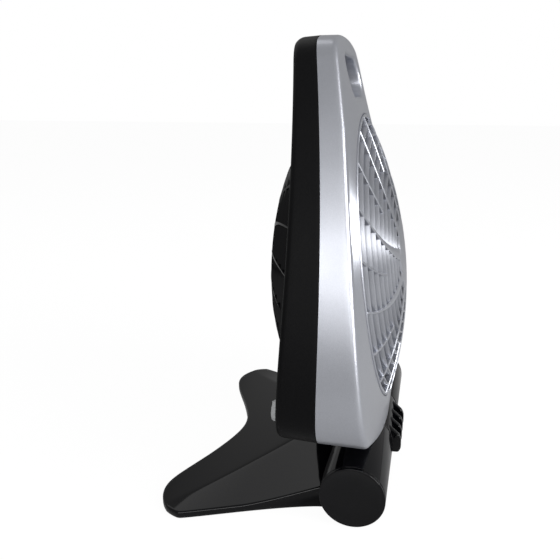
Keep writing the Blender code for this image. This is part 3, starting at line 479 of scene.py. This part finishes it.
# Where the case screws, the knob and the power inlet sit, as (x, z) on the back.
SCREWS = [(-42.5, 274.0), (42.5, 274.0), (-114.0, 101.0), (114.0, 101.0)]
KNOB, INLET = (-96.0, 79.0), (96.0, 79.0)
print("case screws:", len(SCREWS), "knob at", KNOB, "inlet at", INLET)

# %% Rear shell
BORE_DEPTH, BORE_R = 1.7, 3.2
seam_back = at_depth(wide, seam_y(wide[:, 1]) + SEAM_GAP)
seam_lip = at_depth(lifted(outset(edge, 2.7), 9.5), seam_y(wide[:, 1]) + SEAM_GAP)
y_back = back_y(edge[:, 1])
rear_belt = at_depth(lifted(outset(edge, 2.3), 9.0), y_back - 4.0)
rear_corner = at_depth(lifted(outset(edge, 2.1), 8.8), y_back - 0.1)
rear_face = at_depth(lifted(outset(edge, -1.6), 8.0), y_back)
past_seam = straight(seam_back, rear_belt, 40)[1]
mouth = rear_ring(REAR_R + 1.0, REAR_Y)
mouth_wall = rear_ring(REAR_R, REAR_Y - 1.0)
recess_outer, recess_inner = rear_ring(REAR_R, REAR_Y - 2.9), rear_ring(REAR_R - SEAT_STEP, REAR_Y - 2.9)
recess_back = rear_ring(REAR_R - SEAT_STEP, REAR_Y - 5.1)
inner_back = at_depth(lifted(outset(edge, -3.4), 8.0), y_back - 3.0)
inner_side = at_depth(lifted(outset(edge, -0.3), 9.0), y_back - 7.0)
inner_lip = at_depth(lifted(outset(edge, 0.6), 9.5), seam_y(wide[:, 1]) + SEAM_GAP)
rear_rows = np.concatenate([
    rounded(seam_lip, seam_back, past_seam, 3), straight(past_seam, rear_belt, 7),
    rounded(rear_belt, rear_corner, rear_face, 12), straight(rear_face, mouth, 7),
    rounded(mouth, rear_ring(REAR_R, REAR_Y), mouth_wall, 4), straight(mouth_wall, recess_outer, 1),
    straight(recess_outer, recess_inner, 1), straight(recess_inner, recess_back, 1),
    straight(recess_back, inner_back, 2), straight(inner_back, inner_side, 2),
    straight(inner_side, inner_lip, 2), inner_lip[None]])
rear_shell = mesh_object("rear_case", *solid(rear_rows, wrap_rows=True))
counterbores = gather([cylinder((x, 0, z), "Y", wall_y(z) - BORE_DEPTH, wall_y(z) + 9.0, BORE_R)
                       for x, z in SCREWS])
inlet_hole = cylinder((INLET[0], 0, INLET[1]), "Y", 30.0, 60.0, 5.3)
knob_hole = cylinder((KNOB[0], 0, KNOB[1]), "Y", 30.0, 60.0, 3.6)
carve(rear_shell, [("UNION", slot_lining(lambda z: seam_y(z) + SEAM_GAP, lambda z: wall_y(z) - 1.2)),
                   ("DIFFERENCE", slot_tool()),
                   ("DIFFERENCE", mesh_object("counterbores", *counterbores)),
                   ("DIFFERENCE", mesh_object("inlet_hole", *inlet_hole)),
                   ("DIFFERENCE", mesh_object("knob_hole", *knob_hole))])
settle(rear_shell, satin_black, "head", "satin_black", "rear_shell")


# %% [markdown]
# ## Screws
# A pan head is a low dome with a crossed recess. A Boolean could cut the cross, but the head is so small
# that a polar grid does: its height is a flattened dome, and every point near an arm of the cross drops
# into the recess.

# %% Screw heads
# Half the width of an arm of the cross, how far it reaches from the centre, and its depth.
ARM_HALF, ARM_REACH, RECESS = 0.42, 1.7, 0.8


def screw_head(centre, seat, height=1.8, radius=2.85):
    """Height is h (1 - 0.55 (r/R)^4), less the recess within an arm's half width and reach."""
    r = np.concatenate([np.linspace(0.0, 1.9, 16), np.linspace(2.05, radius, 8), [radius]])[:, None]
    angle = np.linspace(0.0, 2 * math.pi, 64, endpoint=False)[None, :]
    x, z = r * np.cos(angle), r * np.sin(angle)
    away = np.broadcast_to(r, x.shape)
    top = height * (1 - 0.55 * (away / radius) ** 4)
    top[-1] = 0.0
    cross = (np.minimum(abs(x), abs(z)) < ARM_HALF) & (away < ARM_REACH)
    top = np.where(cross, top - RECESS, top)
    grid = np.stack([x + centre[0], seat + top, z + centre[1]], -1)
    back = np.broadcast_to((centre[0], seat, centre[1]), grid[-1:].shape)
    return solid(np.concatenate([grid, back]), capped=False)


case_screws = gather([screw_head((x, z), float(wall_y(z)) - BORE_DEPTH) for x, z in SCREWS])
settle(mesh_object("case_screws", *case_screws), bright_steel, "head", "bright_steel",
       "shell_screw_1", "shell_screw_2", "shell_screw_3", "shell_screw_4")


# %% [markdown]
# ## Grilles
# Both grilles are domes of deep rings crossed by swept spokes. Half of the spokes stop at a ring part of the
# way in, and the others run on to the hub and widen on the way. Bevelled curves would give round wires, but
# the real louvres are deep and flat, so a ring or a spoke is one section carried along a path: at each point
# of the path there is a centre, a direction across and a direction out.

# %% Carrying a section along a path
LOUVRE = np.array([(-1.0, -0.12), (-0.6, 0.0), (0.6, 0.0), (1.0, -0.12), (0.75, -1.0), (-0.75, -1.0)])
HUB_R, SPOKE_HALF, SPOKES = 26.0, 0.8, 20


def carried(centre, across, out, half_width, depth, closed):
    """Point = centre + u * half width * across + v * depth * out, for each (u, v) of the louvre section."""
    u, v = LOUVRE[:, 0][None, :, None], LOUVRE[:, 1][None, :, None]
    half_width = np.broadcast_to(half_width, len(centre))[:, None, None]
    depth = np.broadcast_to(depth, len(centre))[:, None, None]
    grid = centre[:, None] + u * half_width * across[:, None] + v * depth * out[:, None]
    return solid(grid, wrap_rows=closed, capped=not closed)


def outwards(place, count):
    """The fan's axis, pointing out of the dome, once for each point of a path."""
    return np.broadcast_to(place(0.0, 0.0, 1.0) - place(0.0, 0.0, 0.0), (count, 3))


def dome_ring(place, height, radius, half_width, depth, steps=180):
    """A circle on the dome; across is the radial direction and out is the fan's axis."""
    angle = np.linspace(0.0, 2 * math.pi, steps, endpoint=False)
    x, up = np.sin(angle), np.cos(angle)
    centre = place(radius * x, radius * up, height(radius))
    across = place(x, up, 0.0) - place(0.0, 0.0, 0.0)
    return carried(centre, across, outwards(place, steps), half_width, depth, True)


def dome_spoke(place, height, start, sweep, inner, outer, half_width, depth, steps=26):
    """Angle = start + sweep * (1 - ((r - H) / (R - H))^1.35), so a spoke sets off steeply and straightens."""
    r = np.linspace(outer, inner, steps)
    angle = start + sweep * (1 - np.clip((r - HUB_R) / (outer - HUB_R), 0, 1) ** 1.35)
    x, up = r * np.sin(angle), r * np.cos(angle)
    centre = place(x, up, height(r) + 0.25)
    along = np.gradient(centre, axis=0)
    out = outwards(place, steps)
    across = np.cross(along, out)
    across /= np.linalg.norm(across, axis=1)[:, None]
    share = (outer - r) / (outer - HUB_R)
    return carried(centre, across, out, half_width(share), depth, False)


def thin(share):
    """The same half width all the way."""
    return np.full_like(share, SPOKE_HALF)


def widening(share):
    """Rim width for the outer part, then a wedge that reaches 4.5 mm each side at the hub."""
    return SPOKE_HALF + 3.7 * np.clip((share - 0.25) / 0.75, 0, 1) ** 1.3


print("spokes on each grille:", SPOKES)

# %% Front grille
RIM_BAND, FRONT_SWEEP = 97.9, math.radians(-17.0)


def front_height(r):
    """A parabola 18 mm high over the opening."""
    return 18.0 * (1.0 - (np.asarray(r, float) / RIM_R) ** 2)


hub_profile = [(front_height(0) - 3.0, 0.0), (front_height(25.0) - 3.5, 25.0),
               (front_height(26.2) - 1.2, 26.6)]
hub_profile += [(float(front_height(r)) + 0.3, float(r)) for r in np.linspace(26.2, 0.0, 16)]
hub_grid = turned(hub_profile, "Y", (0, 0, 0), 96)
hub_disc = solid(leaning(hub_grid[..., 0], hub_grid[..., 2], hub_grid[..., 1]), capped=False)
ring_radii = np.linspace(34.0, 92.0, 9)
front_parts = [hub_disc, dome_ring(leaning, front_height, RIM_BAND, 1.15, 4.4, 240)]
front_parts += [dome_ring(leaning, front_height, r, 0.75, 6.2) for r in ring_radii]
for k in range(SPOKES):
    start = math.radians(12.0 + 18.0 * k)
    inner, width = (24.5, widening) if k % 2 == 0 else (float(ring_radii[4]) + 0.3, thin)
    front_parts.append(dome_spoke(leaning, front_height, start, FRONT_SWEEP, inner, RIM_BAND, width, 4.2))
front_grille = mesh_object("front_guard", *gather(front_parts), sharp=30.0)
settle(front_grille, silver_paint, "head", "silver_paint", "front_grille")


# %% Rear grille
REAR_BAND, REAR_SWEEP = 92.6, math.radians(15.0)


def upright(x, up, out):
    """A point of the back plane: out runs backwards."""
    return np.stack(np.broadcast_arrays(x, REAR_Y + out, REAR_Z + up), -1)


def rear_height(r):
    """A flatter dome, 24 mm high, that falls quickly near its rim."""
    return 24.0 * (1.0 - (np.asarray(r, float) / REAR_R) ** 3.2)


cup_profile = [(9.6, 16.8), (9.6, 19.0), (24.5, 19.0), (26.0, 22.6)]
cup_profile += [(float(rear_height(r)), float(r)) for r in np.linspace(22.2, 0.0, 12)]
cup_profile += [(17.9, 0.0), (17.9, 16.8)]
cup_grid = turned(cup_profile, "Y", (0, 0, 0), 80)
motor_cup = solid(upright(cup_grid[..., 0], cup_grid[..., 2], cup_grid[..., 1]), wrap_rows=True)
rear_parts = [motor_cup, dome_ring(upright, rear_height, REAR_BAND, 1.2, 2.6, 240)]
rear_parts += [dome_ring(upright, rear_height, r, 0.7, 5.2) for r in np.linspace(30.5, 86.0, 10)]
for k in range(SPOKES):
    start = math.radians(6.0 + 18.0 * k)
    inner, width = (20.0, widening) if k % 2 == 0 else (55.0, thin)
    rear_parts.append(dome_spoke(upright, rear_height, start, REAR_SWEEP, inner, REAR_BAND, width, 2.4))
rear_grille = mesh_object("rear_guard", *gather(rear_parts), sharp=30.0)
settle(rear_grille, piano_black, "head", "piano_black", "rear_grille")
motor_screws = gather([screw_head((x, REAR_Z), REAR_Y + float(rear_height(8.0)) + 0.1) for x in (-8.0, 8.0)])
settle(mesh_object("motor_screws", *motor_screws), bright_steel, "head", "bright_steel",
       "motor_screw_1", "motor_screw_2")


# %% [markdown]
# ## Impeller
# Five wide blades stand on a cup-shaped hub. A blade could be bent out of a flat plate, but a formula keeps
# all five alike: it is a sheet over radius and angle, its depth follows half a cosine from the leading edge
# to the trailing edge, and its two faces are half a thickness either way.

# %% Impeller
BLADES = 5
BLADE_FRONT, BLADE_BACK = 17.5, 37.5
BLADE_ROOT, BLADE_REACH = 20.0, 68.0


def blade(index):
    """Depth = middle + half depth * cos(pi s), thinned towards the edges by sin(pi s) to a small power."""
    t = np.linspace(0.0, 1.0, 26)[:, None]
    s = np.linspace(0.0, 1.0, 25)[None, :]
    r = BLADE_ROOT + t * BLADE_REACH
    half_depth = (0.36 + 0.14 * np.sin(math.pi * t)) * (BLADE_BACK - BLADE_FRONT) - 0.9
    width = 2 * math.pi / BLADES * (0.62 + 0.12 * t - 0.25 * np.clip(t - 0.75, 0, 1))
    angle = 2 * math.pi * index / BLADES + 0.35 * t + width * s
    y = (BLADE_FRONT + BLADE_BACK) / 2 + half_depth * np.cos(math.pi * s)
    thick = 0.85 * np.clip(np.sin(math.pi * s), 0.02, 1) ** 0.35 + 0 * t
    x, z = r * np.sin(angle), REAR_Z + r * np.cos(angle)
    front, back = (np.stack([x, y + sign * thick, z], -1) for sign in (-1, 1))
    return solid(np.concatenate([front, back[:, ::-1]], 1))


hub_cup = filleted([(11.5, 2.3), (11.5, 18.0), (14.5, 21.0), (37.5, 21.0), (37.5, 19.0), (13.5, 19.0),
                    (13.5, 5.0), (22.5, 5.0), (22.5, 2.3)], 1.0)
hub_solid = solid(turned(hub_cup, "Y", (0, 0, REAR_Z), 64), wrap_rows=True)
impeller = mesh_object("impeller", *gather([hub_solid] + [blade(i) for i in range(BLADES)]))
settle(impeller, satin_black, "spin", "satin_black", "fan_impeller")

# %% [markdown]
# ## Speed knob
# The knob is a tapered grip with shallow flutes and a raised pointer. Flutes could be cut one by one, but
# here the radius is a taper less a cosine of twelve waves, which gives them all at once. The power inlet on
# the other side of the back keeps its frame node.

# %% Speed knob
angle = np.linspace(0.0, 2 * math.pi, 144, endpoint=False)[None, :]
depth, radius, flute = np.array([
    (44.1, 0.0, 0.0), (44.1, 7.9, 0.0), (45.0, 8.0, 0.0), (45.6, 7.7, 0.6), (50.6, 6.7, 1.0),
    (51.5, 6.0, 0.5), (51.8, 5.0, 0.0), (51.5, 4.2, 0.0), (51.5, 0.0, 0.0)]).T[:, :, None]
r = radius - 0.55 * flute * (1 + np.cos(12 * angle)) / 2
knob_grid = np.stack([KNOB[0] + r * np.cos(angle), depth + 0 * angle, KNOB[1] + r * np.sin(angle)], -1)
pointer = np.array(KNOB) + np.array([(-0.6, 1.2), (0.6, 1.2), (0.6, 6.2), (-0.6, 6.2)])
pointer_grid = np.stack([at_depth(pointer, y) for y in (51.2, 52.0)])
stem = cylinder((KNOB[0], 0, KNOB[1]), "Y", 32.0, 45.0, 2.4, 24)
knob = mesh_object("knob", *gather([solid(knob_grid, capped=False), solid(pointer_grid), stem]))
settle(knob, pale_grey, "knob", "pale_grey", "speed_knob")

# %% [markdown]
# ## Barrel and caps
# The battery barrel is turned from one profile, waisted in the middle where the collar runs. A cylinder
# primitive has hard edges and no waist, so the profile is drawn and its corners are filleted. Each end has
# a cap with a small rounded edge that catches a thin line of light.

# %% Barrel and caps
AXIS_Z, BARREL_R, BARREL_END = 22.6, 21.4, 93.7
WAIST_R, WAIST_HALF = 18.6, 26.8
SIDES = 128
profile = [(-BARREL_END, 17.5), (-BARREL_END, BARREL_R), (-WAIST_HALF, BARREL_R), (-WAIST_HALF, WAIST_R),
           (WAIST_HALF, WAIST_R), (WAIST_HALF, BARREL_R), (BARREL_END, BARREL_R), (BARREL_END, 17.5)]
barrel_grid = turned(filleted(profile, 0.35, skip=(3, 4)), "X", (0, 0, AXIS_Z), SIDES)
barrel = mesh_object("barrel", *solid(barrel_grid, wrap_rows=True))
settle(barrel, piano_black, "base", "piano_black", "battery_barrel")


def end_cap(name, side):
    """A disc with a rounded edge of about 0.7 mm, its face dished by 0.2 mm inside a narrow rim."""
    shape = filleted([(94.1, 0.0), (94.1, BARREL_R), (96.4, BARREL_R), (96.4, 19.9)], 1.1, 6)
    shape = np.concatenate([shape, [(96.2, 19.6), (96.2, 10.0), (96.2, 0.0)]])
    return mesh_object(name, *solid(turned(shape * (side, 1), "X", (0, 0, AXIS_Z), SIDES), capped=False))


settle(end_cap("cap_left", -1), piano_black, "cap", "piano_black", "battery_cap")
settle(end_cap("cap_right", 1), piano_black, "base", "piano_black", "fixed_cap")


# %% [markdown]
# ## Tilt collar
# The collar turns on the barrel's waist and carries the head. Four fins on its front give a grip for
# tilting. A fin is a rounded polygon: its top slopes, its front is nearly upright, and its foot is square.
# A Bevel modifier would round all its edges alike, so its loops shrink a little near both sides instead.

# %% Tilt collar
FIN_STEP = 12.95


def fin(x, half_width=2.0):
    """A rounded polygon in (y, z) is carried across x; near both sides it shrinks to round its edges."""
    shape = filleted([(-16.0, 4.0), (-17.6, 12.4), (-25.4, 5.6), (-26.9, 2.0), (-27.1, -5.0), (-25.6, -8.4),
                      (-19.6, -8.8), (-16.0, -4.0)], 1.5, 5)
    middle = np.array([-21.0, 0.0])
    loops = []
    for at, shrink in [(-1.0, 0.93), (-0.86, 0.98), (-0.6, 1.0), (0.6, 1.0), (0.86, 0.98), (1.0, 0.93)]:
        loop = middle + (shape - middle) * shrink
        across = np.full(len(loop), x + half_width * at)
        loops.append(np.column_stack([across, loop[:, 0], AXIS_Z + loop[:, 1]]))
    return solid(np.stack(loops))


sleeve = filleted([(-25.4, 18.9), (-25.4, BARREL_R), (25.4, BARREL_R), (25.4, 18.9)], 0.5)
collar_parts = [solid(turned(sleeve, "X", (0, 0, AXIS_Z), SIDES), wrap_rows=True)]
collar_parts += [fin((i - 1.5) * FIN_STEP) for i in range(4)]
neck_loop = np.array([(-18.1, -6.0), (18.1, -6.0), (18.1, 8.0), (-18.1, 8.0)])
collar_parts.append(solid(np.stack([np.column_stack([neck_loop, np.full(4, z)]) for z in (41.5, 46.1)])))
collar = mesh_object("collar", *gather(collar_parts), sharp=35.0)
settle(collar, piano_black, "head", "piano_black", "tilt_collar")

# %% [markdown]
# ## Leg plate
# The base is one glossy plate that starts under the barrel, crowns in the middle and spreads into two legs
# with a notch between them. Gloss shows every dent, so it isn't sculpted. Its top is a height field: a crown
# that falls to the back, and outside a diagonal crease a slope down to the side wall. A grid of shares
# across and along follows the plan, and a high power of both shares pulls the legs' outer corners in to a
# round.

# %% Leg plate
# The legs' rear edge, half width there and at the root, and the notch's edge between them.
LEG_Y, LEG_HALF, ROOT_HALF, NOTCH_Y = 133.0, 117.0, 81.0, 100.5
ACROSS, ALONG = 150, 70
EASE = 0.86


def side_half(y):
    """Half width: straight at the root, flaring as a power of y, pulled in on a circle at the corner."""
    t = np.clip((y - 22.0) / 92.0, 0, 1)
    end = np.clip((y - 110.0) / (LEG_Y - 110.0), 0, 1)
    return ROOT_HALF + (LEG_HALF - ROOT_HALF) * t ** 1.2 - 9.0 * (1.0 - np.sqrt(1.0 - 0.93 * end ** 2))


def rear_plan(share):
    """Rear edge: one eased sweep from the notch in the middle to the leg, and a rounded outer corner."""
    x = np.abs(share) * LEG_HALF
    t = np.clip(x / 95.0, 0, 1)
    return NOTCH_Y + (LEG_Y - NOTCH_Y) * t * t * (3 - 2 * t) - 7.0 * np.clip((x - 95.0) / 22.0, 0, 1) ** 2


def plate_height(x, y):
    """Crown and side heights are powers of y; between them a softened ramp across the crease."""
    crown = 6.0 + 27.0 * (np.clip(128.0 - y, 0, 103) / 103.0) ** 1.5
    side = 6.0 + 11.0 * (np.clip(75.0 - y, 0, 53) / 53.0) ** 1.5
    crease = np.maximum(y - 16.0, 4.0)
    t = (np.abs(x) - crease) / np.maximum(side_half(y) - crease, 4.0)
    t = np.clip((t + np.sqrt(t * t + 0.003)) / 2, 0, 1)
    return crown + (side - crown) * t


def plate_skin(inset, drop):
    """The plate's top, inset from its plan and dropped; shares across follow a sine, denser at the sides."""
    shares = np.sin(np.linspace(-1, 1, ACROSS) * math.pi / 2 * EASE) / math.sin(math.pi / 2 * EASE)
    share, deep = np.meshgrid(shares, np.linspace(0.0, 1.0, ALONG))
    y = 3.0 + inset + (rear_plan(share) - 3.0 - 2 * inset) * deep
    x = share * (side_half(y) + 4.0 * deep ** 4 - inset)
    corner = (np.abs(share) * deep) ** 6
    x, y = x - 8.0 * np.sign(share) * corner, y - 4.0 * corner
    return np.stack([x, y, plate_height(x, y) - drop], 2)


def border(grid):
    """The grid's rim as one loop of points."""
    return np.concatenate([grid[0], grid[1:, -1], grid[-1, -2::-1], grid[-2:0:-1, 0]])


def laid(loop, z):
    """The loop pressed flat at height z."""
    return loop * (1, 1, 0) + (0, 0, z)


top, under = plate_skin(1.4, 0.0), plate_skin(2.2, 2.4)
outer_rim, inner_rim = border(plate_skin(0.0, 1.4)), border(under)
top_edge = rounded(border(top), border(plate_skin(0.25, 0.25)), outer_rim, 5)
foot = [laid(outer_rim, 1.8), laid(border(plate_skin(0.6, 0.0)), 1.2), laid(inner_rim, 1.2)]
skirt = np.concatenate([top_edge, outer_rim[None], np.stack(foot), inner_rim[None]])
sheet = grid_faces(ALONG, ACROSS, wrap_cols=False).tolist()
plate_parts = [(top.reshape(-1, 3), sheet),
               (skirt.reshape(-1, 3), grid_faces(*skirt.shape[:2]).tolist()),
               (under.reshape(-1, 3), sheet)]
leg_plate = mesh_object("legs", *gather(plate_parts), sharp=50.0)
barrel_room = mesh_object("barrel_room", *cylinder((0, 0, AXIS_Z), "X", -130.0, 130.0, 21.7, SIDES))
carve(leg_plate, [("DIFFERENCE", barrel_room)], 50.0)
settle(leg_plate, piano_black, "base", "piano_black", "leg_plate")

# %% [markdown]
# ## Stage, light and camera
# The fan stands on a plain pale floor. More light would whiten the floor but would wash out the fan, so the
# whiteness is for the camera alone: its rays see most of the floor as a glow and the sky at full strength,
# while the rest of the floor stays matt and keeps the fan's shadow, and the fan itself is lit by a dim sky.
# A long narrow light on the left gives the flank its bright patch, and a square one in front keeps the
# grille readable.
# Two weak panels high behind the fan, with a gap between them, lay soft reflections on the glossy legs.

# %% Floor
FLOOR_HALF, FLOOR_GREY = 6.0, 0.5
GLOW, GLOW_SHARE = 1.1, 0.87
corners = [(-FLOOR_HALF, -FLOOR_HALF, 0), (FLOOR_HALF, -FLOOR_HALF, 0),
           (FLOOR_HALF, FLOOR_HALF, 0), (-FLOOR_HALF, FLOOR_HALF, 0)]
floor_mesh = bpy.data.meshes.new("floor")
floor_mesh.from_pydata(corners, [], [(0, 1, 2, 3)])
floor = bpy.data.objects.new("floor", floor_mesh)
bpy.context.scene.collection.objects.link(floor)
white_floor = bpy.data.materials.new("white_floor")
white_floor.use_nodes = True
nodes, links = white_floor.node_tree.nodes, white_floor.node_tree.links
nodes["Principled BSDF"].inputs["Base Color"].default_value = (FLOOR_GREY, FLOOR_GREY, FLOOR_GREY, 1)
nodes["Principled BSDF"].inputs["Roughness"].default_value = 0.9
glow = nodes.new("ShaderNodeEmission")
glow.inputs["Strength"].default_value = GLOW
mix = nodes.new("ShaderNodeMixShader")
path = nodes.new("ShaderNodeLightPath")
share = nodes.new("ShaderNodeMath")
share.operation = "MULTIPLY"
share.inputs[1].default_value = GLOW_SHARE
links.new(path.outputs["Is Camera Ray"], share.inputs[0])
links.new(share.outputs[0], mix.inputs["Fac"])
links.new(nodes["Principled BSDF"].outputs[0], mix.inputs[1])
links.new(glow.outputs[0], mix.inputs[2])
links.new(mix.outputs[0], nodes["Material Output"].inputs["Surface"])
floor.data.materials.append(white_floor)
print("floor:", 2 * FLOOR_HALF, "m across")

# %% Sky
SKY_DIM, SKY_FULL = 0.3, 1.0
world = bpy.data.worlds.new("studio")
bpy.context.scene.world = world
world.use_nodes = True
nodes, links = world.node_tree.nodes, world.node_tree.links
seen, either = nodes.new("ShaderNodeLightPath"), nodes.new("ShaderNodeMath")
either.operation = "MAXIMUM"
links.new(seen.outputs["Is Camera Ray"], either.inputs[0])
links.new(seen.outputs["Is Transmission Ray"], either.inputs[1])
level = nodes.new("ShaderNodeMapRange")
level.inputs["To Min"].default_value = SKY_DIM
level.inputs["To Max"].default_value = SKY_FULL
links.new(either.outputs[0], level.inputs["Value"])
links.new(level.outputs["Result"], nodes["Background"].inputs["Strength"])
nodes["Background"].inputs["Color"].default_value = (1, 1, 1, 1)
print("sky strength:", SKY_DIM, "on the fan,", SKY_FULL, "for the camera")


# %% Lights
from mathutils import Vector


def soft_light(name, place, target, width, height, watts):
    """An upright area light, as wide and as high as stated, that faces its target."""
    data = bpy.data.lights.new(name, "AREA")
    data.shape, data.size, data.size_y, data.energy = "RECTANGLE", width, height, watts
    lamp = bpy.data.objects.new(name, data)
    bpy.context.scene.collection.objects.link(lamp)
    lamp.location = place
    lamp.rotation_euler = (Vector(target) - Vector(place)).to_track_quat("-Z", "Y").to_euler()
    print(f"{lamp.name}: {watts} W, {width} by {height} m")
    return lamp


soft_light("flank_light", (-1.35, -0.2, 0.88), (-0.1, -0.02, 0.18), 1.5, 0.35, 8.0)
soft_light("front_light", (-0.5, -1.6, 0.9), (0, 0, 0.15), 1.1, 1.1, 29.0)
for offset in (-0.32, 0.32):
    place = (0.35 - 0.35 * offset, 0.75 + 0.94 * offset, 1.15)
    soft_light("far_light", place, (-0.05, 0.03, 0.02), 0.58, 0.8, 1.1)

# %% Camera
# It stands on the left, as seen from the front, a little forward of the fan, and looks slightly down.
lens = bpy.data.cameras.new("camera")
lens.sensor_width = 36.0
lens.lens = 39.56
camera = bpy.data.objects.new("camera", lens)
bpy.context.scene.collection.objects.link(camera)
camera.location = (-0.4342, -0.0880, 0.2689)
camera.rotation_euler = Vector((0.9310, 0.2266, -0.2862)).to_track_quat("-Z", "Y").to_euler()
bpy.context.scene.camera = camera
bpy.context.scene.view_settings.view_transform = "Standard"
print("camera:", lens.lens, "mm lens,", round(camera.location.length, 2), "m from the origin")
